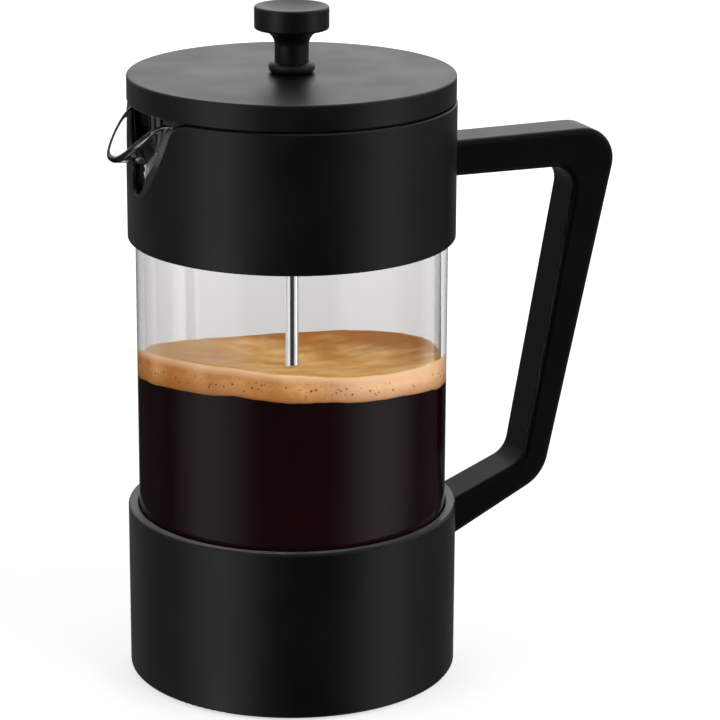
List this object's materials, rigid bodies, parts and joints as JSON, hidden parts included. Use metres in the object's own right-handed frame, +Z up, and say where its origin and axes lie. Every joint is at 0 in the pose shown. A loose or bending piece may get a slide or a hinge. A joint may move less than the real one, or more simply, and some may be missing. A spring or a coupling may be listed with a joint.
{
  "type": "french press",
  "caption": "Plunger coffee maker: a spouted glass beaker stands in a black base cup and collar joined by an angular handle, under a flat lid with a rod, knob and sprung mesh filter.",
  "frame": {"origin": "on the beaker's axis, at the underside of the foot, where the press stands on a table", "axes": "+Z up the beaker's axis and the plunger's travel, +X towards the handle, -X towards the spout"},
  "size_m": [0.1678, 0.105, 0.215],
  "materials": {
    "black_plastic": "satin moulded polypropylene, fine spark-eroded grain",
    "inner_plastic": "smooth moulded polypropylene",
    "silicone": "matt silicone rubber",
    "clear_glass": "clear fire-polished borosilicate glass",
    "polished_steel": "polished",
    "filter_steel": "brushed stainless steel",
    "fine_mesh": "woven stainless wire cloth",
    "screw_steel": "zinc-plated",
    "insert_brass": "turned"
  },
  "bodies": {
    "stand": {"base_cup": "black_plastic", "base_foot": "silicone", "glass_rest": "silicone", "collar": "black_plastic", "handle": "black_plastic", "handle_upper_screws": "screw_steel", "handle_lower_screws": "screw_steel"},
    "beaker": {"beaker": "clear_glass"},
    "seal": {"lid_seal": "silicone"},
    "lid": {"lid_cap": "black_plastic", "lid_plate": "inner_plastic", "lid_bush": "inner_plastic", "lid_nut": "inner_plastic"},
    "plunger": {"knob": "black_plastic", "knob_insert": "insert_brass", "plunger_rod": "polished_steel", "rod_flange": "filter_steel", "spring_plate": "filter_steel", "rim_spring": "filter_steel", "filter_mesh": "fine_mesh", "cross_plate": "filter_steel", "filter_hub": "filter_steel"}
  },
  "joints": [
    {"name": "beaker_lift", "type": "slide", "parent": "stand", "child": "beaker", "axis": [0, 0, 1], "range_m": [0, 0.18]},
    {"name": "lid_lift", "type": "slide", "parent": "beaker", "child": "seal", "axis": [0, 0, 1], "range_m": [0, 0.175]},
    {"name": "lid_turn", "type": "hinge", "parent": "seal", "child": "lid", "pos_m": [0, 0, 0.1857], "axis": [0, 0, 1], "continuous": true},
    {"name": "plunger_slide", "type": "slide", "parent": "lid", "child": "plunger", "axis": [0, 0, 1], "range_m": [0, 0.145]}
  ]
}
